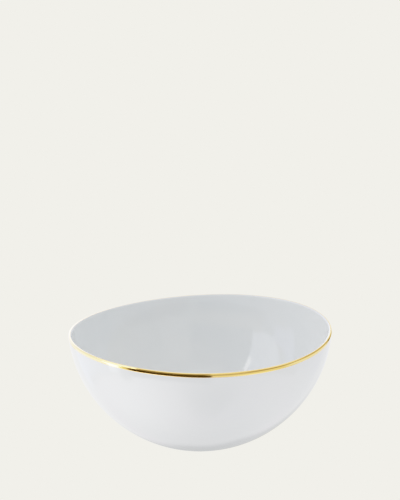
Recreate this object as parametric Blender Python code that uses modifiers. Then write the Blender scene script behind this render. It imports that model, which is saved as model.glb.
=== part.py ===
"""A glazed porcelain serving bowl with a gilded lip. Metres, +Z up.

The origin is the centre of the foot ring's resting plane, and +X points to the highest place on the lip.
Every part is turned from an outline in the X-Z plane. The lip isn't level: it climbs and dips round the
bowl, so each turned part is then slid along the bowl's sphere until its lip follows that line.
"""

import math

import bpy
from mathutils import Vector

# Driving dimensions
BOWL_RADIUS = 0.130  # sphere of the glazed outside
FOOT_RADIUS = 0.035  # outer side of the foot ring
FOOT_DROP = 0.0008  # the ring stands this far below the sphere
LIP_DEPTH = 0.0122  # mean lip height, below the sphere's centre
LIP_TILT = 0.0033  # the lip is higher at +X and lower at -X by this
LIP_SADDLE = 0.0023  # and higher at both ends of X, lower at both ends of Y, by this

LIP_THICKNESS = 0.0032  # over the glaze on both sides
WALL_THICKNESS = 0.0046  # the same, low on the wall
FLOOR_HEIGHT = 0.0052  # inside floor above the table, before its smooth join to the wall
FLOOR_BLEND = 0.0042
GLAZE = 0.0003
GOLD = 0.00015
GAP = 0.0001  # between a coat and what it covers

GOLD_INNER_REACH = math.radians(90)  # how far the gold goes over the lip's round, from its outer side
GOLD_OUTER_DROP = 0.0021  # and how far down the outside, below that round

LAND_WIDTH = 0.0036  # the flat that the bowl stands on
FOOT_EDGE = 0.0006  # round of the ring's edges
WELL_DEPTH = 0.0016  # hollow inside the ring, at its edge
WELL_DOME = 0.0004  # and how much deeper it is in the middle
WELL_SIDE = math.radians(50)  # slope of the ring's inner side
BARE_STRIP = 0.0010  # unglazed clay left above the ring

# The slide that makes the lip uneven fades out between these angles from straight down
SLIDE_START = math.radians(28)
SLIDE_END = math.radians(81)

SEGMENTS = 60
WALL_STEPS = 8
LIP_STEPS = 6
FLOOR_STEPS = 4
FOOT_EDGE_STEPS = 2
MERGE = 0.00001

CENTRE_HEIGHT = math.sqrt(BOWL_RADIUS**2 - FOOT_RADIUS**2) + FOOT_DROP
COAT = GAP + GLAZE
BODY_RADIUS = BOWL_RADIUS - COAT
LIP_ROUND = LIP_THICKNESS / 2 - COAT
LIP_CENTRE_RADIUS = BODY_RADIUS - LIP_ROUND


def lip_angle(height):
    """Angle from straight down of the lip round's centre, for a lip top at this height."""
    return math.acos((LIP_THICKNESS / 2 - height) / LIP_CENTRE_RADIUS)


def lip_height(turn):
    """Height of the lip's top over the sphere's centre, at this turn from +X."""
    return LIP_TILT * math.cos(turn) + LIP_SADDLE * math.cos(2 * turn) - LIP_DEPTH


MEAN_LIP_ANGLE = lip_angle(-LIP_DEPTH)


def smooth(t):
    """0 below 0, 1 above 1, and an even S between."""
    t = min(max(t, 0.0), 1.0)
    return t * t * (3 - 2 * t)


def on_sphere(radius, angle):
    """The point of the X-Z plane this far from the sphere's centre, at this angle from straight down."""
    return Vector((radius * math.sin(angle), CENTRE_HEIGHT - radius * math.cos(angle)))


def inner_point(angle):
    """A point of the inside: a sphere that thickens the wall downwards, run smoothly into a flat floor."""
    down = smooth((MEAN_LIP_ANGLE - angle) / MEAN_LIP_ANGLE)
    thickness = LIP_THICKNESS + (WALL_THICKNESS - LIP_THICKNESS) * down - 2 * COAT
    point = on_sphere(BODY_RADIUS - thickness, angle)
    lift = FLOOR_HEIGHT - point.y
    point.y += (lift + math.hypot(lift, FLOOR_BLEND)) / 2
    return point


def arc(centre, radius, start, end, steps):
    """Points of an arc. Angles run from +X towards +Z."""
    angles = [start + (end - start) * i / steps for i in range(steps + 1)]
    return [centre + radius * Vector((math.cos(a), math.sin(a))) for a in angles]


def floor_and_inside():
    """The inside of the body, from the middle of the floor up to the lip's round."""
    wall_foot = math.radians(30)
    floor = [inner_point(wall_foot * i / FLOOR_STEPS) for i in range(FLOOR_STEPS)]
    rise = MEAN_LIP_ANGLE - wall_foot
    wall = [inner_point(wall_foot + rise * i / WALL_STEPS) for i in range(WALL_STEPS)]
    return floor + wall


def lip():
    """The half round over the top of the wall, from its inner side to its outer side."""
    outward = MEAN_LIP_ANGLE - math.pi / 2
    centre = on_sphere(LIP_CENTRE_RADIUS, MEAN_LIP_ANGLE)
    return arc(centre, LIP_ROUND, outward + math.pi, outward, LIP_STEPS)


def outside():
    """The outside of the body, from the gold's lower edge down to the end of the glaze."""
    top = MEAN_LIP_ANGLE - GOLD_OUTER_DROP / BODY_RADIUS
    end = math.asin((FOOT_RADIUS + BARE_STRIP) / BODY_RADIUS)
    return [on_sphere(BODY_RADIUS, top + (end - top) * i / WALL_STEPS) for i in range(WALL_STEPS + 1)]


def foot():
    """The foot ring's outer side, its rounded edges and the flat between them."""
    joins_wall = on_sphere(BODY_RADIUS, math.asin(FOOT_RADIUS / BODY_RADIUS))
    outer = Vector((FOOT_RADIUS - FOOT_EDGE, FOOT_EDGE))
    inner = outer - Vector((LAND_WIDTH, 0))
    down = -math.pi / 2
    outer_round = arc(outer, FOOT_EDGE, 0, down, FOOT_EDGE_STEPS)
    inner_round = arc(inner, FOOT_EDGE, down, down - WELL_SIDE, FOOT_EDGE_STEPS)
    return [joins_wall] + outer_round + inner_round


def well():
    """The hollow under the floor, from partway up the ring's inner side to the middle."""
    side_foot = foot()[-1]
    rise = WELL_DEPTH - side_foot.y
    side = Vector((-rise / math.tan(WELL_SIDE), rise))
    edge = side_foot + side
    middle = WELL_DEPTH + WELL_DOME
    return [
        side_foot + side * 0.3,
        edge,
        Vector((edge.x * 0.5, WELL_DEPTH + WELL_DOME * 0.75)),
        Vector((0.0, middle)),
    ]


def offset(line, distance):
    """The line moved this far to its left, each stretch parallel. A point on the axis stays on it."""
    moved = []
    for i, point in enumerate(line):
        before = line[max(i - 1, 0)]
        after = line[min(i + 1, len(line) - 1)]
        sides = [(b - a).normalized() for a, b in ((before, point), (point, after)) if b != a]
        normals = [Vector((-side.y, side.x)) for side in sides]
        if point.x == 0:
            moved.append(Vector((0.0, point.y + distance / normals[0].y)))
            continue
        mean = sum(normals, Vector((0.0, 0.0))).normalized()
        moved.append(point + mean * (distance / mean.dot(normals[0])))
    return moved


def coat(line, inner, outer):
    """The closed outline of a coat on this line, between two distances from it."""
    return offset(line, outer) + offset(line, inner)[::-1]


def material(name, colour, roughness, metallic=0.0):
    made = bpy.data.materials.new(name)
    made.use_nodes = True
    shader = made.node_tree.nodes["Principled BSDF"]
    shader.inputs["Base Color"].default_value = (*colour, 1.0)
    shader.inputs["Roughness"].default_value = roughness
    shader.inputs["Metallic"].default_value = metallic
    return made


def turned(name, outline, finish, ring=False):
    """The outline turned about Z, as a mesh object. A ring's outline closes on itself, off the axis."""
    last = len(outline) - 1
    edges = [(i, i + 1) for i in range(last)]
    if ring:
        edges.append((last, 0))
    profile = bpy.data.meshes.new(name + "_profile")
    profile.from_pydata([(p.x, 0.0, p.y) for p in outline], edges, [])
    lathe = bpy.data.objects.new(name + "_lathe", profile)
    bpy.context.scene.collection.objects.link(lathe)
    screw = lathe.modifiers.new("turn", "SCREW")
    screw.steps = SEGMENTS
    screw.render_steps = SEGMENTS
    screw.use_merge_vertices = True
    screw.merge_threshold = MERGE
    graph = bpy.context.evaluated_depsgraph_get()
    mesh = bpy.data.meshes.new_from_object(lathe.evaluated_get(graph))
    bpy.data.objects.remove(lathe)
    mesh.name = name
    mesh.materials.clear()
    mesh.materials.append(finish)
    return bpy.data.objects.new(name, mesh)


def slide_to_lip(mesh):
    """Slides each point along the bowl's sphere, fully at the lip and not at all low down."""
    for vertex in mesh.vertices:
        x, y, z = vertex.co
        across = math.hypot(x, y)
        below = CENTRE_HEIGHT - z
        turn = math.atan2(y, x)
        angle = math.atan2(across, below)
        share = smooth((angle - SLIDE_START) / (SLIDE_END - SLIDE_START))
        if share == 0:
            continue
        angle += share * (lip_angle(lip_height(turn)) - MEAN_LIP_ANGLE)
        point = on_sphere(math.hypot(across, below), angle)
        vertex.co = (point.x * math.cos(turn), point.x * math.sin(turn), point.y)


def add_part(name, outline, finish, collection, ring=False):
    part = turned(name, outline, finish, ring)
    slide_to_lip(part.data)
    part.data.shade_smooth()
    part.data.set_sharp_from_angle(angle=math.radians(40))
    collection.objects.link(part)
    return part


def build():
    for old in list(bpy.data.objects):
        bpy.data.objects.remove(old)
    parts = bpy.data.collections.new("porcelain_serving_bowl")
    bpy.context.scene.collection.children.link(parts)

    porcelain = material("porcelain_body", (0.86, 0.85, 0.82), 0.6)
    glaze = material("white_glaze", (0.83, 0.85, 0.86), 0.1)
    gold = material("rim_gold", (0.83, 0.60, 0.24), 0.15, metallic=1.0)

    skin = floor_and_inside() + lip() + outside()
    add_part("bowl_body", skin + foot() + well(), porcelain, parts)
    add_part("glaze_coat", coat(skin, GAP, COAT), glaze, parts)
    add_part("foot_well_glaze", coat(well()[::-1], -COAT, -GAP), glaze, parts)

    gold_steps = round(LIP_STEPS * GOLD_INNER_REACH / math.pi)
    gilded = lip()[LIP_STEPS - gold_steps:] + outside()[:1]
    add_part("rim_gold_band", coat(gilded, COAT + GAP, COAT + GAP + GOLD), gold, parts, ring=True)


build()
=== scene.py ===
"""The looks of a glazed porcelain serving bowl with a gilded lip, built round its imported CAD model.

Metres, +Z up. The origin is the centre of the foot's resting plane and +X points to the highest place on
the lip. Each piece is a closed skin through one outline for each turn about Z. An outline is an array of
(distance from the axis, height) rows, and angles on the bowl's sphere are measured from straight down.
"""
import math

import bmesh
import bpy
import numpy as np
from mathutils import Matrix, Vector


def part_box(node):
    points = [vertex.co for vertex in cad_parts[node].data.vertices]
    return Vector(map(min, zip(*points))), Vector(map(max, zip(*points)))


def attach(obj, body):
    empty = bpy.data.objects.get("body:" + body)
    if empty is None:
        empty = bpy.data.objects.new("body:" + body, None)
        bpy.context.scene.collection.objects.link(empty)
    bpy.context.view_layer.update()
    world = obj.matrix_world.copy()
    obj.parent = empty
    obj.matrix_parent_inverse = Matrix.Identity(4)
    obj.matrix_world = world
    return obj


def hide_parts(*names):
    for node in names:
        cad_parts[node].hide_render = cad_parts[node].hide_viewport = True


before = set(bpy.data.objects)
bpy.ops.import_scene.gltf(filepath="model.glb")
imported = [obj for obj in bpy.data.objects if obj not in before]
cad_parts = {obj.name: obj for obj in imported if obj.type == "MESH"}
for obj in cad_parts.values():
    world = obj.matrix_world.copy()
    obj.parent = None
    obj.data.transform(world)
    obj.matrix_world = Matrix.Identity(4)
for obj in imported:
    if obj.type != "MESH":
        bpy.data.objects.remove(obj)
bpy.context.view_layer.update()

MM = 0.001

# ---------------------------------------------------------------- the bowl's sizes

# Where the CAD is measured: its wall between the foot and the gold, its rim, and what counts as zero
WALL_LOW = 10 * MM
WALL_HIGH = 90 * MM
RIM_LOW = 80 * MM
TOUCH = 0.01 * MM

# The wall and the floor. The slide that makes the lip uneven fades out between the two angles
LIP_THICKNESS = 3.2 * MM
WALL_THICKNESS = 4.6 * MM
FLOOR_BLEND = 4.2 * MM
SLIDE_START = math.radians(28)
SLIDE_END = math.radians(81)

# The foot
FOOT_CORNER = 0.7 * MM
FOOT_ROUND = 0.75 * FOOT_CORNER
FOOT_CLEARANCE = 2 * FOOT_CORNER  # the foot's outline starts this far outside the ring
WALL_CLEARANCE = 2.2 * FOOT_CORNER  # and the wall's ends this far outside it
WELL_SIDE = math.radians(50)
WELL_DOME = 0.4 * MM

# The coats, as distances from what they cover
GLAZE_UNDERSIDE = 0.02 * MM
GOLD_UNDERSIDE = 0.02 * MM
GOLD_THICKNESS = 0.06 * MM

# A glaze's edge rolls over in a bead this wide and high. Inside the foot ring, it's this share of the
# way up the ring's side
GLAZE_ROLL = 0.9 * MM
GLAZE_BEAD = 0.07 * MM
WELL_GLAZE_START = 0.45
GLAZE_FINE_REACH = 3 * GLAZE_ROLL  # steps are finer this near the main coat's edge

# The gold goes this far over the lip's round, from its outer side, and this far down the outside.
# It is widest at one turn and at the turn opposite.
GOLD_REACH = math.radians(99)
GOLD_DROP = 1.85 * MM
GOLD_DROP_WAVE = 0.35 * MM
GOLD_WIDEST = math.radians(-107.5)
GOLD_EDGE_POWER = 8  # how squarely the band's section ends

# How far a hand-finished bowl strays from its drawing, and how the strays run round it.
# Waves: share, waves per turn, phase. The wall's waves go on with the waves up the wall and their phase.
WALL_STRAY = 0.05 * MM
WALL_WAVES = ((1.0, 3, 1.1, 5, 0.4), (0.6, 5, 2.3, 8, math.pi / 2), (0.35, 11, 0.3, 13, 1.0))
GLAZE_EDGE_STRAY = 0.35 * MM
GLAZE_EDGE_WAVES = ((0.6, 5, 0.7), (0.3, 13, 0.0), (0.2, 29, 2.0))
WELL_EDGE_STRAY = 0.105 * MM
WELL_EDGE_WAVES = ((0.5, 4, 2.0), (0.3, 11, 1.0))
GOLD_EDGE_STRAY = 0.09 * MM
GOLD_EDGE_WAVES = ((0.5, 7, 0.0), (0.3, 17, 1.3), (0.2, 41, 0.5))

# Steps round the bowl and along its outlines
SEGMENTS = 240
GLAZE_INSIDE_STEPS = 72
GLAZE_LIP_STEPS = 20
GLAZE_WALL_STEPS = 55
GLAZE_EDGE_STEPS = 12
CLAY_INSIDE_STEPS = 28
CLAY_LIP_STEPS = 8
CLAY_WALL_STEPS = 27
UNDERSIDE_WALL_STEPS = 23
WELL_EDGE_STEPS = 13
WELL_STEPS = 19
GOLD_LIP_STEPS = 26
GOLD_DROP_STEPS = 12
CORNER_STEPS = 4

# ---------------------------------------------------------------- the materials' looks

# A noise is used between the two values of its span.
# Glaze: colours, the size of each detail, and the depth of its relief
GLAZE_WHITE = (0.83, 0.86, 0.865)
GLAZE_WHITE_DRIFT = (0.845, 0.868, 0.868)
GLAZE_POOLED = (0.80, 0.85, 0.85)
GLAZE_SPECK = (0.42, 0.37, 0.30)
DRIFT_SIZE = 60 * MM
DRIFT_SPAN = (0.3, 0.7)
POOL_TOP = 22 * MM
POOL_FULL = 3 * MM
POOL_SHARE = 0.5
SPECK_SPACING = 14 * MM
SPECK_RADIUS = 0.308 * MM
SPECK_CORE = 0.112 * MM
SPECK_SHARE = 0.35
SPECK_RARITY = 0.8
WIPE_SIZE = 25 * MM
WIPE_SPAN = (0.3, 0.75)
GLAZE_ROUGHNESS = (0.045, 0.085)
PEEL_SIZE = 5 * MM
PEEL_DEPTH = 0.012 * MM
GLAZE_GRAIN_SIZE = 1.2 * MM
GLAZE_GRAIN_DEPTH = 0.0015 * MM

# Gold: streaks and ridges have a length round the lip, and a number to each millimetre across it.
# It thins where this near an edge, as a share of the band's width, more where a streak is strong.
GOLD_FULL = (0.96, 0.72, 0.30)
GOLD_THIN = (0.82, 0.54, 0.24)
STREAK_LENGTH = 40 * MM
STREAKS_ACROSS = 0.5
STREAK_SPAN = (0.3, 0.7)
RIDGE_LENGTH = 12 * MM
RIDGES_ACROSS = 2.0
RIDGE_DEPTH = 0.001 * MM
THIN_EDGE = (0.05, 0.13)
THIN_STREAK = 0.08
THIN_SHARE = 0.7
GOLD_ROUGHNESS = (0.05, 0.10)

# Bare porcelain
BISCUIT = (0.80, 0.78, 0.73)
BISCUIT_STAIN = (0.66, 0.62, 0.55)
LAND_TOP = 0.35 * MM
LAND_FULL = 0.05 * MM
STAIN_SIZE = 9 * MM
STAIN_SPAN = (0.45, 0.7)
STAIN_SHARE = 0.6
BISCUIT_GRAIN_SIZE = 0.35 * MM
BISCUIT_GRAIN_DEPTH = 0.03 * MM
GRINDING_LENGTH = 30 * MM
GRINDING_PITCH = 0.25 * MM
GRINDING_DEPTH = 0.01 * MM
BISCUIT_ROUGHNESS = (0.62, 0.78)

CERAMIC_IOR = 1.5

# ---------------------------------------------------------------- the camera and the lights

# The camera looks down at the bowl from its left front, over its middle
CAMERA_TURN = math.radians(-32.5)
CAMERA_RISE = math.radians(16.25)
CAMERA_DISTANCE = 1.6
CAMERA_AIM_LIFT = 69.05 * MM
CAMERA_AIM_RIGHT = 0.15 * MM
CAMERA_LENS = 117.2
SENSOR_WIDTH = 36.0
RIGHT = (math.cos(CAMERA_TURN), math.sin(CAMERA_TURN), 0.0)
FRONT = (math.sin(CAMERA_TURN), -math.cos(CAMERA_TURN), 0.0)
UP = (0.0, 0.0, 1.0)

# The picture's response is straight up to the knee, then bends over towards white
KNEE = 0.55
WHITE_LEVEL = 4.0
CURVE_STEPS = 20
CURVE_CROWDING = 1.6  # crowds the steps towards the knee
BACKDROP = (0.879, 0.871, 0.823)  # as it shows, after the response

# What the gold and the glaze mirror: a room, the floor round the bowl and the studio's cards.
# Card: azimuth, elevation, width, height and soft edge in degrees, radiance, then lean and slope if any.
# A card hides those before it. Glow: direction as (right, front, up), sharpness, radiance.
ROOM = (0.61, 0.56, 0.39)
FLOOR_CARDS = {
    "floor": (0, -63, 400, 58, 4, (1.25, 1.18, 1.25)),
    "floor_front": (12, -57, 55, 34, 30, (0.4, 0.4, 0.4)),
    "floor_back": (180, -70, 180, 44, 14, (1.3, 1.3, 1.3)),
    "horizon_left": (-158, -25, 50, 26, 8, (1.3, 1.3, 1.3)),
    "horizon_right": (136, -28, 70, 28, 8, (1.15, 1.15, 1.15)),
    "floor_back_low": (174, -40, 32, 30, 14, (0.68, 0.68, 0.68)),
}
FLOOR_GLOWS = {
    "floor_left": ((-0.65, 0.25, -0.75), 6, (2.1, 2.1, 2.1)),
    "floor_right": ((0.6, 0.2, -0.8), 7, (0.5, 0.5, 0.5)),
}
ROOM_CARDS = {
    "overhead": (0, 80, 400, 26, 6, (1.2, 1.2, 1.3)),
    "overhead_back": (180, 64, 190, 40, 10, (1.15, 1.15, 1.3)),
    "right_low": (113, -14, 58, 32, 8, (1.05, 1.05, 1.15)),
    "behind": (170, 9, 28, 60, 8, (1.15, 1.15, 1.25)),
    "right_gap": (141, -3, 5, 30, 3, (0.05, 0.05, 0.05)),
    "left_back": (-152, 9, 44, 48, 8, (1.5, 1.6, 2.2)),
    "left_glare": (-171, 6, 12, 30, 5, (3.4, 3.4, 3.6)),
    "left": (-117, -11, 52, 42, 8, (1.5, 1.6, 2.0)),
    "left_mid": (-108, 15, 70, 12, 4, (1.2, 1.25, 1.7)),
    "left_high": (-128, 36, 44, 40, 20, (1.25, 1.35, 1.7)),
    "front_right": (24, 28, 36, 52, 8, (0.9, 0.84, 0.68)),
    "low_right": (42, 6, 64, 16, 6, (0.28, 0.19, 0.08)),
    "window": (-80, -16, 22, 32, 4, (4.0, 4.4, 5.0)),
    "dark_high": (-27, 41, 76, 40, 3, (0.22, 0.185, 0.105), 0.1),
    "panel": (-94, 40, 60, 31, 3, (2.0, 2.1, 2.4), -0.5, -0.37),
    "under_panel": (-68, 12, 20, 15, 3, (0.8, 0.8, 0.8)),
    "dark_gap": (-28, 14.5, 68, 15, 3, (0.7, 0.6, 0.36)),
    "dark": (-28, -8, 68, 34, 8, (0.08, 0.048, 0.005)),
    "dark_low": (-32, -28.5, 86, 19, 3, (0.08, 0.05, 0.005), 0.0, -0.075),
    "dark_end": (-74, -30, 11, 16, 8, (1.0, 0.95, 0.75)),
    "lamp": (-71, 47, 5, 10, 3, (6.0, 6.0, 6.0), -0.6),
}

# The soft light that falls on the bowl: an even part, and glows
AMBIENT = (0.425, 0.42, 0.43)
LAMPS = {
    "left": ((-1.0, 0.3, 0.3), 2, (0.48, 0.48, 0.49)),
    "left_low": ((-1.0, 0.5, 0.0), 5, (0.33, 0.32, 0.33)),
    "right": ((1.0, 0.3, 0.3), 2, (0.40, 0.40, 0.40)),
    "back": ((0.0, -1.0, 0.3), 2, (0.30, 0.30, 0.31)),
    "back_left": ((-0.8, -0.6, 0.1), 2, (0.36, 0.36, 0.37)),
    "top": ((0.0, 0.0, 1.0), 2, (0.36, 0.36, 0.37)),
}

# The light that the table gives the bowl from below: near the foot, far from it, and added at each side
TABLE_HALF_WIDTH = 3.0
TABLE_NEAR = (0.53, 0.53, 0.53)
TABLE_FAR = (0.81, 0.80, 0.82)
TABLE_LEFT = (0.47, 0.47, 0.47)
TABLE_RIGHT = (0.20, 0.20, 0.20)
SHADE_START = 30 * MM
SHADE_END = 170 * MM
SIDE_REACH = 250 * MM


# ---------------------------------------------------------------- what the frame says

def points_of(node):
    return np.array([vertex.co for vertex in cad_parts[node].data.vertices])


def normals_of(node):
    return np.array([vertex.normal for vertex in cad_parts[node].data.vertices])


def on_wall(points):
    return (points[:, 2] > WALL_LOW) & (points[:, 2] < WALL_HIGH)


def measured_sphere():
    """Centre height and radius of the clay's outside, by least squares over its outward-facing points."""
    points = points_of("bowl_body")
    outward = (normals_of("bowl_body")[:, :2] * points[:, :2]).sum(1) > 0
    x, y, z = points[outward & on_wall(points)].T
    terms = np.column_stack([2 * z, np.ones(len(z))])
    (height, rest), *_ = np.linalg.lstsq(terms, x * x + y * y + z * z, rcond=None)
    return float(height), math.sqrt(rest + height**2)


def measured_coat():
    """Thickness of the glaze with its gap: how far its outer skin stands off the clay's sphere."""
    points = points_of("glaze_coat")
    wall = points[on_wall(points)]
    reach = np.linalg.norm(wall - (0.0, 0.0, CENTRE_HEIGHT), axis=1).max()
    return float(reach) - BODY_RADIUS


def measured_lip():
    """Mean, tilt and saddle of the highest line of the clay's lip."""
    tops = {}
    for x, y, z in points_of("bowl_body"):
        turn = round(math.atan2(y, x), 2)
        tops[turn] = max(tops.get(turn, 0.0), z)
    turn = np.array(list(tops))
    top = np.array(list(tops.values()))
    rim = top > RIM_LOW
    turn, top = turn[rim], top[rim]
    return top.mean(), 2 * (top * np.cos(turn)).mean(), 2 * (top * np.cos(2 * turn)).mean()


def measured_foot():
    """Outer radius of the foot ring, and inner radius of the flat it stands on."""
    points = points_of("bowl_body")
    across = np.hypot(points[:, 0], points[:, 1])
    return across[points[:, 2] < FOOT_CORNER].max(), across[points[:, 2] < TOUCH].min()


def axis_heights(node):
    """Heights at which a node's skin crosses the Z axis, lowest first."""
    points = points_of(node)
    return sorted(points[np.hypot(points[:, 0], points[:, 1]) < TOUCH][:, 2])


CENTRE_HEIGHT, BODY_RADIUS = measured_sphere()
LIP_TOP, LIP_TILT, LIP_SADDLE = measured_lip()
FOOT_RADIUS, LAND_RADIUS = measured_foot()
WELL_HEIGHT, FLOOR_HEIGHT = axis_heights("bowl_body")[0], axis_heights("bowl_body")[-1]
COAT = measured_coat()
LIP_ROUND = LIP_THICKNESS / 2 - COAT
LIP_CENTRE_RADIUS = BODY_RADIUS - LIP_ROUND
GLAZE_END = math.acos((CENTRE_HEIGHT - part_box("glaze_coat")[0].z) / (BODY_RADIUS + COAT))


def lip_angle(turn):
    """Angle of the lip round's centre at this turn."""
    top = LIP_TOP + LIP_TILT * np.cos(turn) + LIP_SADDLE * np.cos(2 * turn)
    centre = top - LIP_ROUND
    return np.arccos((CENTRE_HEIGHT - centre) / LIP_CENTRE_RADIUS)


QUARTERS = np.pi / 4 + np.arange(4) * np.pi / 2
MEAN_LIP_ANGLE = float(lip_angle(QUARTERS).mean())


# ---------------------------------------------------------------- outlines

def smooth(t):
    """0 below 0, 1 above 1, and an even S between."""
    t = np.clip(t, 0.0, 1.0)
    return t * t * (3 - 2 * t)


def on_sphere(radius, angle):
    return np.stack([radius * np.sin(angle), CENTRE_HEIGHT - radius * np.cos(angle)], axis=-1)


def arc(centre, radius, start, end, steps):
    """Points of an arc. Angles run from outwards towards up."""
    angle = np.linspace(start, end, steps + 1)
    return centre + radius * np.stack([np.cos(angle), np.sin(angle)], axis=-1)


def left_of(along):
    """Unit vectors to the left of these directions."""
    normal = np.stack([-along[:, 1], along[:, 0]], axis=-1)
    return normal / np.linalg.norm(normal, axis=1)[:, None]


def wander(turn, waves):
    """A smooth stray round the bowl."""
    return sum(share * math.sin(count * turn + phase) for share, count, phase in waves)


def inside(lift, steps):
    """The clay's inside from the floor's middle to the lip, moved into the bowl by this much."""
    angle = np.linspace(0, MEAN_LIP_ANGLE, steps + 1)
    down = smooth((MEAN_LIP_ANGLE - angle) / MEAN_LIP_ANGLE)
    thickness = LIP_THICKNESS + (WALL_THICKNESS - LIP_THICKNESS) * down - 2 * COAT
    line = on_sphere(BODY_RADIUS - thickness, angle)
    rise = FLOOR_HEIGHT - line[0, 1]
    level = FLOOR_HEIGHT - FLOOR_BLEND**2 / (4 * rise) - line[:, 1]
    line[:, 1] += (level + np.hypot(level, FLOOR_BLEND)) / 2
    along = np.gradient(line, axis=0)
    along[0] = (1.0, 0.0)
    return (line + lift * left_of(along))[:-1]


def lip(lift, start, end, steps):
    """The lip's round, between two angles from its outer side, moved out of the clay by this much."""
    centre = on_sphere(LIP_CENTRE_RADIUS, MEAN_LIP_ANGLE)
    outward = MEAN_LIP_ANGLE - math.pi / 2
    return arc(centre, LIP_ROUND + lift, outward + start, outward + end, steps)


def rounded(corners, radius):
    """A line through these corners, each but the first and last cut back by the radius and curved."""
    line = [corners[0]]
    for before, corner, after in zip(corners, corners[1:], corners[2:]):
        start = corner + radius * (before - corner) / np.linalg.norm(before - corner)
        end = corner + radius * (after - corner) / np.linalg.norm(after - corner)
        for t in np.linspace(0, 1, CORNER_STEPS + 1):
            line.append((1 - t) ** 2 * start + 2 * t * (1 - t) * corner + t * t * end)
    line.append(corners[-1])
    return np.array(line)


def well_side():
    """The lower and upper corners of the foot ring's inner side."""
    lower = np.array([LAND_RADIUS - FOOT_CORNER * math.tan(WELL_SIDE / 2), 0.0])
    rise = WELL_HEIGHT - WELL_DOME
    return lower, lower + np.array([-rise / math.tan(WELL_SIDE), rise])


def foot_and_well():
    """From the wall above the foot ring, round the ring and over the hollow inside it to the axis."""
    above = on_sphere(BODY_RADIUS, math.asin((FOOT_RADIUS + FOOT_CLEARANCE) / BODY_RADIUS))
    joint = on_sphere(BODY_RADIUS, math.asin(FOOT_RADIUS / BODY_RADIUS))
    outer = np.array([FOOT_RADIUS, 0.0])
    middle = np.array([0.0, WELL_HEIGHT])
    return rounded([above, joint, outer, *well_side(), middle], FOOT_ROUND)


def glaze_roll(distance):
    """Share of the full coat this far in from the glaze's edge, which ends in a round bead."""
    t = np.clip(distance / GLAZE_ROLL, 0.0, 1.0)
    return np.sqrt(1 - (1 - t) ** 2)


def closed_coat(upper, lower):
    return np.concatenate([upper, lower[::-1]])


def clay_outline(_turn):
    """The clay's section, the same at every turn before it is slid to the lip line."""
    wall_end = math.asin((FOOT_RADIUS + WALL_CLEARANCE) / BODY_RADIUS)
    outside = on_sphere(BODY_RADIUS, np.linspace(MEAN_LIP_ANGLE, wall_end, CLAY_WALL_STEPS + 1))[1:]
    round_part = lip(0, math.pi, 0, CLAY_LIP_STEPS)
    return np.concatenate([inside(0, CLAY_INSIDE_STEPS), round_part, outside, foot_and_well()])


def glaze_outline(turn):
    """The main coat's section: inside, over the lip and down the outside to a beaded edge, and back."""
    end = GLAZE_END + GLAZE_EDGE_STRAY * wander(turn, GLAZE_EDGE_WAVES) / BODY_RADIUS
    near_end = GLAZE_FINE_REACH / BODY_RADIUS
    wall = np.linspace(MEAN_LIP_ANGLE, end + near_end, GLAZE_WALL_STEPS + 1)
    edge = end + near_end * np.cos(np.linspace(0, math.pi / 2, GLAZE_EDGE_STEPS + 1))
    angle = np.concatenate([wall[1:], edge[1:]])
    distance = (angle - end) * BODY_RADIUS
    bead = GLAZE_BEAD * np.exp(-(((distance - GLAZE_ROLL) / GLAZE_ROLL) ** 2))
    height = GLAZE_UNDERSIDE + (COAT - GLAZE_UNDERSIDE + bead) * glaze_roll(distance)
    upper_lip = lip(COAT, math.pi, 0, GLAZE_LIP_STEPS)
    upper_wall = on_sphere(BODY_RADIUS + height, angle)
    upper = np.concatenate([inside(COAT, GLAZE_INSIDE_STEPS), upper_lip, upper_wall])
    back = np.linspace(MEAN_LIP_ANGLE, end, UNDERSIDE_WALL_STEPS + 1)[1:-1]
    lower_lip = lip(GLAZE_UNDERSIDE, math.pi, 0, CLAY_LIP_STEPS)
    lower_wall = on_sphere(BODY_RADIUS + GLAZE_UNDERSIDE, back)
    lower = np.concatenate([inside(GLAZE_UNDERSIDE, CLAY_INSIDE_STEPS), lower_lip, lower_wall])
    return closed_coat(upper, lower)


def well_glaze_outline(turn):
    """The glaze inside the foot ring, thinning to a rolled edge partway down the ring's inner side."""
    corner, edge = (point[0] for point in well_side())
    start = corner - WELL_GLAZE_START * (corner - edge) - WELL_EDGE_STRAY * wander(turn, WELL_EDGE_WAVES)
    fine = np.linspace(start, edge - FOOT_CORNER, WELL_EDGE_STEPS + 1)
    coarse = np.linspace(edge - FOOT_CORNER, 0, WELL_STEPS + 1)
    across = np.concatenate([fine, coarse[1:]])
    line = foot_and_well()
    hollow = line[line[:, 0] <= LAND_RADIUS][::-1]
    height = np.interp(across, hollow[:, 0], hollow[:, 1])
    thickness = GLAZE_UNDERSIDE + (COAT - GLAZE_UNDERSIDE) * glaze_roll(start - across)
    upper = np.stack([across, height - GLAZE_UNDERSIDE], axis=-1)
    lower = np.stack([across, height - thickness], axis=-1)
    return closed_coat(upper, lower[1:])[::-1]


def gold_outline(turn):
    """The band's section: over the lip's round and down the outside, with both edges drawn thin."""
    stray = GOLD_EDGE_STRAY * wander(turn, GOLD_EDGE_WAVES)
    drop = GOLD_DROP + GOLD_DROP_WAVE * math.cos(2 * (turn - GOLD_WIDEST)) + stray
    reach = GOLD_REACH + stray / LIP_ROUND
    down = MEAN_LIP_ANGLE - np.linspace(0, drop / BODY_RADIUS, GOLD_DROP_STEPS + 1)[1:]
    round_part = lip(COAT + GOLD_UNDERSIDE, reach, 0, GOLD_LIP_STEPS)
    wall_part = on_sphere(BODY_RADIUS + COAT + GOLD_UNDERSIDE, down)
    base = np.concatenate([round_part, wall_part])
    across = np.linspace(-1, 1, len(base))
    thickness = GOLD_THICKNESS * np.sqrt(1 - across**GOLD_EDGE_POWER)
    upper = base + left_of(np.gradient(base, axis=0)) * thickness[:, None]
    return closed_coat(upper, base[1:-1])


# ---------------------------------------------------------------- skins

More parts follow.
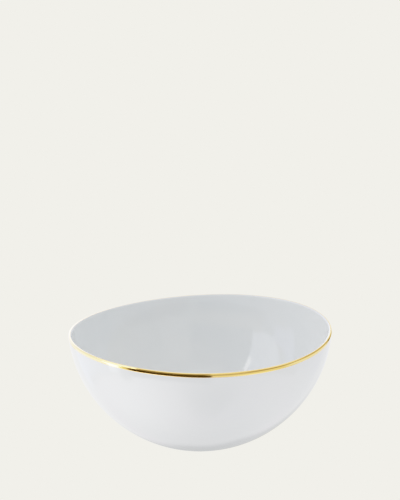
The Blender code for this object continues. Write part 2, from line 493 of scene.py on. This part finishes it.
def wall_stray(angle, turn):
    """How far the wall strays from its sphere, fading out towards the foot."""
    stray = 0
    for share, count, phase, count_up, phase_up in WALL_WAVES:
        stray = stray + share * np.sin(count * turn + phase) * np.sin(count_up * angle + phase_up)
    return WALL_STRAY * stray * smooth((angle - SLIDE_START) / SLIDE_START)


def placed(outline, turn):
    """The outline in space at one turn, slid along the sphere so that its lip follows the lip line."""
    across, below = outline[:, 0], CENTRE_HEIGHT - outline[:, 1]
    angle = np.arctan2(across, below)
    share = smooth((angle - SLIDE_START) / (SLIDE_END - SLIDE_START))
    angle = angle + share * (lip_angle(turn) - MEAN_LIP_ANGLE)
    point = on_sphere(np.hypot(across, below) + wall_stray(angle, turn), angle)
    return np.stack([point[:, 0] * math.cos(turn), point[:, 0] * math.sin(turn), point[:, 1]], axis=-1)


def skin_faces(count, ring):
    """Faces between each turn's outline and the next. Unless a ring, all outlines share their two ends."""
    index = np.arange(SEGMENTS * count).reshape(SEGMENTS, count)
    if not ring:
        index[:, 0] = 0
        index[:, -1] = count - 1
    faces = []
    for i in range(SEGMENTS):
        here, there = index[i], index[(i + 1) % SEGMENTS]
        for j in range(count if ring else count - 1):
            k = (j + 1) % count
            corners = [here[j], here[k], there[k], there[j]]
            faces.append(list(dict.fromkeys(int(corner) for corner in corners)))
    return faces


def remove_unused_points(mesh):
    cleaned = bmesh.new()
    cleaned.from_mesh(mesh)
    unused = [point for point in cleaned.verts if not point.link_faces]
    bmesh.ops.delete(cleaned, geom=unused, context="VERTS")
    cleaned.to_mesh(mesh)
    cleaned.free()


def skin(name, outline, finish, node, ring=False):
    """A piece through the outline at every turn. A ring's outline closes on itself, off the axis."""
    turns = [2 * math.pi * i / SEGMENTS for i in range(SEGMENTS)]
    rows = [placed(outline(turn), turn) for turn in turns]
    mesh = bpy.data.meshes.new(name)
    mesh.from_pydata(np.concatenate(rows).tolist(), [], skin_faces(len(rows[0]), ring))
    remove_unused_points(mesh)
    mesh.materials.append(finish)
    mesh.shade_smooth()
    piece = bpy.data.objects.new(name, mesh)
    bpy.context.scene.collection.objects.link(piece)
    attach(piece, "root")
    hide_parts(node)
    return piece


# ---------------------------------------------------------------- materials

class Tree:
    """Short ways to add and join the nodes of a material or a world."""

    def __init__(self, owner):
        owner.use_nodes = True
        self.tree = owner.node_tree
        self.tree.nodes.clear()

    def join(self, socket, value):
        """Gives an input its value: another node's output, a colour or a plain value."""
        if isinstance(value, bpy.types.NodeSocket):
            self.tree.links.new(value, socket)
        elif socket.type == "RGBA":
            socket.default_value = (*value, 1.0)
        else:
            socket.default_value = value

    def node(self, kind, inputs=None, **settings):
        made = self.tree.nodes.new("ShaderNode" + kind)
        for name, value in settings.items():
            setattr(made, name, value)
        for name, value in (inputs or {}).items():
            self.join(made.inputs[name], value)
        return made

    def math(self, operation, *values):
        made = self.node("Math", operation=operation)
        for socket, value in zip(made.inputs, values):
            self.join(socket, value)
        return made.outputs[0]

    def vector(self, operation, *values):
        made = self.node("VectorMath", operation=operation)
        for socket, value in zip(made.inputs, values):
            self.join(socket, value)
        return made.outputs["Value" if operation in ("DOT_PRODUCT", "LENGTH") else "Vector"]

    def scaled(self, vector, scale):
        inputs = {"Vector": vector, "Scale": scale}
        return self.node("VectorMath", inputs, operation="SCALE").outputs["Vector"]

    def blend(self, share, under, over):
        """Two colours, mixed."""
        made = self.node("Mix", data_type="RGBA")
        for index, value in ((0, share), (6, under), (7, over)):
            self.join(made.inputs[index], value)
        return made.outputs[2]

    def ramp(self, value, low, high, at_low=0.0, at_high=1.0):
        """A smooth step from at_low to at_high."""
        inputs = {"Value": value, "From Min": low, "From Max": high, "To Min": at_low, "To Max": at_high}
        return self.node("MapRange", inputs, interpolation_type="SMOOTHSTEP").outputs[0]

    def noise(self, place, size, detail=2.0, w=None):
        """Noise whose features are about this size, in metres."""
        inputs = {"Vector": place, "Scale": 1 / size, "Detail": detail}
        if w is not None:
            inputs["W"] = w
        made = self.node("TexNoise", inputs, noise_dimensions="3D" if w is None else "4D")
        return made.outputs[0]

    def bump(self, height, depth, under=None):
        inputs = {"Height": height, "Distance": depth, "Strength": 1.0}
        if under is not None:
            inputs["Normal"] = under
        return self.node("Bump", inputs).outputs[0]

    def finish(self, **inputs):
        """The Principled shader, with its inputs named with _ for each space."""
        named = {name.replace("_", " "): value for name, value in inputs.items()}
        shader = self.node("BsdfPrincipled", named)
        self.node("OutputMaterial", {"Surface": shader.outputs[0]})


def glaze_specks(tree, place):
    """Share of a rare iron speck in the glaze: one cell in a few has one, at its middle."""
    cells = tree.node("TexVoronoi", {"Vector": place, "Scale": 1 / SPECK_SPACING}).outputs
    rim = SPECK_RADIUS / SPECK_SPACING
    core = SPECK_CORE / SPECK_SPACING
    speck = tree.ramp(cells["Distance"], rim, core, 0.0, SPECK_SHARE)
    draw = tree.node("SeparateColor", {"Color": cells["Color"]}).outputs[0]
    return tree.math("MULTIPLY", speck, tree.math("GREATER_THAN", draw, SPECK_RARITY))


def glaze_material(name):
    """Clear glaze on white porcelain: a cool white that greens a little where the glaze pools."""
    made = bpy.data.materials.new(name)
    tree = Tree(made)
    place = tree.node("TexCoord").outputs["Object"]
    height = tree.node("SeparateXYZ", {"Vector": place}).outputs["Z"]
    drift = tree.ramp(tree.noise(place, DRIFT_SIZE), *DRIFT_SPAN)
    pooled = tree.ramp(height, POOL_TOP, POOL_FULL, 0.0, POOL_SHARE)
    colour = tree.blend(drift, GLAZE_WHITE, GLAZE_WHITE_DRIFT)
    colour = tree.blend(pooled, colour, GLAZE_POOLED)
    colour = tree.blend(glaze_specks(tree, place), colour, GLAZE_SPECK)
    wiped = tree.noise(place, WIPE_SIZE, detail=4.0)
    roughness = tree.ramp(wiped, *WIPE_SPAN, *GLAZE_ROUGHNESS)
    peel = tree.bump(tree.noise(place, PEEL_SIZE, detail=1.0), PEEL_DEPTH)
    grain = tree.bump(tree.noise(place, GLAZE_GRAIN_SIZE), GLAZE_GRAIN_DEPTH, under=peel)
    tree.finish(Base_Color=colour, Roughness=roughness, Normal=grain, IOR=CERAMIC_IOR)
    return made


def gold_material(name):
    """Bright gold brushed round the lip: fine streaks along the stroke, redder where its edges thin."""
    made = bpy.data.materials.new(name)
    tree = Tree(made)
    place = tree.node("TexCoord").outputs["Object"]
    across = tree.node("Attribute", attribute_name="across").outputs["Fac"]
    edge = tree.node("Attribute", attribute_name="edge").outputs["Fac"]
    streak = tree.noise(place, STREAK_LENGTH, detail=3.0, w=tree.math("MULTIPLY", across, STREAKS_ACROSS))
    ridge = tree.noise(place, RIDGE_LENGTH, w=tree.math("MULTIPLY", across, RIDGES_ACROSS))
    uneven = tree.math("ADD", edge, tree.math("MULTIPLY", streak, THIN_STREAK))
    thin = tree.ramp(uneven, *THIN_EDGE, THIN_SHARE, 0.0)
    colour = tree.blend(thin, GOLD_FULL, GOLD_THIN)
    roughness = tree.ramp(streak, *STREAK_SPAN, *GOLD_ROUGHNESS)
    relief = tree.bump(ridge, RIDGE_DEPTH)
    tree.finish(Base_Color=colour, Metallic=1.0, Roughness=roughness, Normal=relief)
    return made


def biscuit_material(name):
    """Bare fired porcelain, ground flat under the foot: matte, fine grained, faintly stained on its land."""
    made = bpy.data.materials.new(name)
    tree = Tree(made)
    place = tree.node("TexCoord").outputs["Object"]
    height = tree.node("SeparateXYZ", {"Vector": place}).outputs["Z"]
    land = tree.ramp(height, LAND_TOP, LAND_FULL)
    stain = tree.ramp(tree.noise(place, STAIN_SIZE, detail=5.0), *STAIN_SPAN)
    stained = tree.math("MULTIPLY", tree.math("MULTIPLY", land, stain), STAIN_SHARE)
    colour = tree.blend(stained, BISCUIT, BISCUIT_STAIN)
    grain = tree.bump(tree.noise(place, BISCUIT_GRAIN_SIZE, detail=3.0), BISCUIT_GRAIN_DEPTH)
    radius = tree.vector("LENGTH", tree.vector("MULTIPLY", place, (1.0, 1.0, 0.0)))
    rings = tree.noise(place, GRINDING_LENGTH, w=tree.math("DIVIDE", radius, GRINDING_PITCH))
    ground = tree.bump(tree.math("MULTIPLY", rings, land), GRINDING_DEPTH, under=grain)
    roughness = tree.ramp(stain, 0.0, 1.0, *BISCUIT_ROUGHNESS)
    tree.finish(Base_Color=colour, Roughness=roughness, Normal=ground, IOR=CERAMIC_IOR)
    return made


# ---------------------------------------------------------------- pieces

def mark_strokes(mesh):
    """Stores how far across the band each point is, in millimetres, and how near an edge, from 0 to 1."""
    count = len(gold_outline(0.0))
    upper = GOLD_LIP_STEPS + GOLD_DROP_STEPS + 1
    place = np.arange(count)
    share = np.where(place < upper, place / (upper - 1), (count - place) / (upper - 1))
    width = (GOLD_DROP + GOLD_REACH * (LIP_ROUND + COAT)) / MM
    across = np.tile(share * width, SEGMENTS)
    edge = np.tile(np.minimum(share, 1 - share), SEGMENTS)
    for name, values in (("across", across), ("edge", edge)):
        mesh.attributes.new(name, "FLOAT", "POINT").data.foreach_set("value", values.astype(np.float32))


def build_bowl():
    skin("porcelain_body", clay_outline, biscuit_material("bare_porcelain"), "bowl_body")
    glaze = glaze_material("clear_glaze")
    skin("glaze_shell", glaze_outline, glaze, "glaze_coat")
    skin("foot_well_glaze_patch", well_glaze_outline, glaze, "foot_well_glaze")
    gold = gold_material("bright_gold")
    band = skin("gilded_lip", gold_outline, gold, "rim_gold_band", ring=True)
    mark_strokes(band.data)


# ---------------------------------------------------------------- studio

def card(tree, view, under, azimuth, elevation, width, height, edge, radiance, lean=0.0, slope=0.0):
    """A flat card over what's under it, in degrees. Azimuth is 0 towards the camera and + to its right.

    Its sides lean this far in azimuth for each degree up, and its top and bottom slope with azimuth.
    """
    turn, rise = view
    off_turn = tree.math("WRAP", tree.math("SUBTRACT", turn, azimuth), 180.0, -180.0)
    off_rise = tree.math("SUBTRACT", rise, elevation)
    across = tree.math("SUBTRACT", off_turn, tree.math("MULTIPLY", off_rise, lean))
    along = tree.math("SUBTRACT", off_rise, tree.math("MULTIPLY", off_turn, slope))
    seen_across = tree.ramp(tree.math("ABSOLUTE", across), (width + edge) / 2, (width - edge) / 2)
    seen_along = tree.ramp(tree.math("ABSOLUTE", along), (height + edge) / 2, (height - edge) / 2)
    return tree.blend(tree.math("MULTIPLY", seen_across, seen_along), under, radiance)


def glow(tree, direction, aim, sharpness, radiance):
    """A soft light round one direction, given as (right, front, up)."""
    aim = Vector(aim).normalized()
    towards = Vector(RIGHT) * aim.x + Vector(FRONT) * aim.y + Vector(UP) * aim.z
    facing = tree.vector("DOT_PRODUCT", direction, tuple(towards))
    strength = tree.math("POWER", tree.math("MAXIMUM", facing, 0.0), float(sharpness))
    return tree.scaled(radiance, strength)


def reflections(tree, direction):
    """What the gold and the glaze mirror: white walls, a window on the left and dark cards in front."""
    side = tree.vector("DOT_PRODUCT", direction, RIGHT)
    front = tree.vector("DOT_PRODUCT", direction, FRONT)
    up = tree.vector("DOT_PRODUCT", direction, UP)
    turn = tree.math("MULTIPLY", tree.math("ARCTAN2", side, front), math.degrees(1))
    rise = tree.math("MULTIPLY", tree.math("ARCSINE", up), math.degrees(1))
    seen = ROOM
    for shape in FLOOR_CARDS.values():
        seen = card(tree, (turn, rise), seen, *shape)
    for shape in FLOOR_GLOWS.values():
        seen = tree.vector("ADD", seen, glow(tree, direction, *shape))
    for shape in ROOM_CARDS.values():
        seen = card(tree, (turn, rise), seen, *shape)
    return seen


def diffuse_light(tree, direction):
    """The soft light that falls on the bowl."""
    light = AMBIENT
    for shape in LAMPS.values():
        light = tree.vector("ADD", light, glow(tree, direction, *shape))
    return light


def exposed(colour):
    """The light that shows as this colour, the reverse of the picture's response."""
    room = 1 - KNEE
    return tuple(c if c < KNEE else KNEE - room * math.log(1 - (c - KNEE) / room) for c in colour)


def response():
    """A soft shoulder, so that bright gold pales as it does on film."""
    view = bpy.context.scene.view_settings
    view.view_transform = "Standard"
    view.use_curve_mapping = True
    mapping = view.curve_mapping
    mapping.white_level = (WHITE_LEVEL, WHITE_LEVEL, WHITE_LEVEL)
    curve = mapping.curves[3]
    curve.points[0].location = (0.0, 0.0)
    curve.points[1].location = (1.0, 1.0)
    steps = [(i / CURVE_STEPS) ** CURVE_CROWDING for i in range(CURVE_STEPS)]
    room = 1 - KNEE
    curve.points.new(KNEE / 2 / WHITE_LEVEL, KNEE / 2)
    for step in steps:
        light = KNEE + (WHITE_LEVEL - KNEE) * step
        shown = 1 - room * math.exp(-(light - KNEE) / room)
        curve.points.new(light / WHITE_LEVEL, shown)
    mapping.update()


def studio_world():
    """The lights and reflections round the bowl. The camera itself sees only the backdrop."""
    world = bpy.data.worlds.new("studio")
    bpy.context.scene.world = world
    tree = Tree(world)
    world.cycles.sampling_method = "NONE"
    direction = tree.node("TexCoord").outputs["Generated"]
    ray = tree.node("LightPath").outputs
    seen = tree.blend(ray["Is Glossy Ray"], diffuse_light(tree, direction), reflections(tree, direction))
    seen = tree.blend(ray["Is Camera Ray"], seen, exposed(BACKDROP))
    background = tree.node("Background", {"Color": seen, "Strength": 1.0})
    tree.node("OutputWorld", {"Surface": background.outputs[0]})


def table_light(tree):
    """What the table gives the bowl: less in the bowl's own shade, more towards the lights at its sides."""
    place = tree.vector("MULTIPLY", tree.node("NewGeometry").outputs["Position"], (1.0, 1.0, 0.0))
    clear = tree.ramp(tree.vector("LENGTH", place), SHADE_START, SHADE_END)
    light = tree.blend(clear, TABLE_NEAR, TABLE_FAR)
    side = tree.vector("DOT_PRODUCT", place, RIGHT)
    for reach, radiance in ((-SIDE_REACH, TABLE_LEFT), (SIDE_REACH, TABLE_RIGHT)):
        light = tree.vector("ADD", light, tree.scaled(radiance, tree.ramp(side, 0.0, reach)))
    return light


def table_material(name):
    """A lit white top that shows as the backdrop, and nothing at all from below."""
    made = bpy.data.materials.new(name)
    made.cycles.emission_sampling = "NONE"
    tree = Tree(made)
    seen = tree.node("LightPath").outputs["Is Camera Ray"]
    colour = tree.blend(seen, table_light(tree), exposed(BACKDROP))
    top = tree.node("Emission", {"Color": colour, "Strength": 1.0})
    underside = tree.node("BsdfTransparent")
    shown = tree.node("MixShader")
    tree.join(shown.inputs[0], tree.node("NewGeometry").outputs["Backfacing"])
    tree.join(shown.inputs[1], top.outputs[0])
    tree.join(shown.inputs[2], underside.outputs[0])
    tree.node("OutputMaterial", {"Surface": shown.outputs[0]})
    return made


def light_table():
    """The pale floor, one square."""
    mesh = bpy.data.meshes.new("light_table")
    half = TABLE_HALF_WIDTH
    corners = [(-half, -half, 0), (half, -half, 0), (half, half, 0), (-half, half, 0)]
    mesh.from_pydata(corners, [], [(0, 1, 2, 3)])
    mesh.materials.append(table_material("lit_table"))
    table = bpy.data.objects.new("light_table", mesh)
    bpy.context.scene.collection.objects.link(table)
    table.visible_glossy = False


def camera():
    data = bpy.data.cameras.new("camera")
    data.lens = CAMERA_LENS
    data.sensor_width = SENSOR_WIDTH
    made = bpy.data.objects.new("camera", data)
    bpy.context.scene.collection.objects.link(made)
    centre = Vector((0, 0, CENTRE_HEIGHT))
    back = Vector(FRONT) * math.cos(CAMERA_RISE) + Vector(UP) * math.sin(CAMERA_RISE)
    made.location = centre + back * CAMERA_DISTANCE
    aim = centre + Vector(UP) * CAMERA_AIM_LIFT + Vector(RIGHT) * CAMERA_AIM_RIGHT
    made.rotation_euler = (aim - made.location).to_track_quat("-Z", "Y").to_euler()
    bpy.context.scene.camera = made


build_bowl()
studio_world()
light_table()
camera()
response()
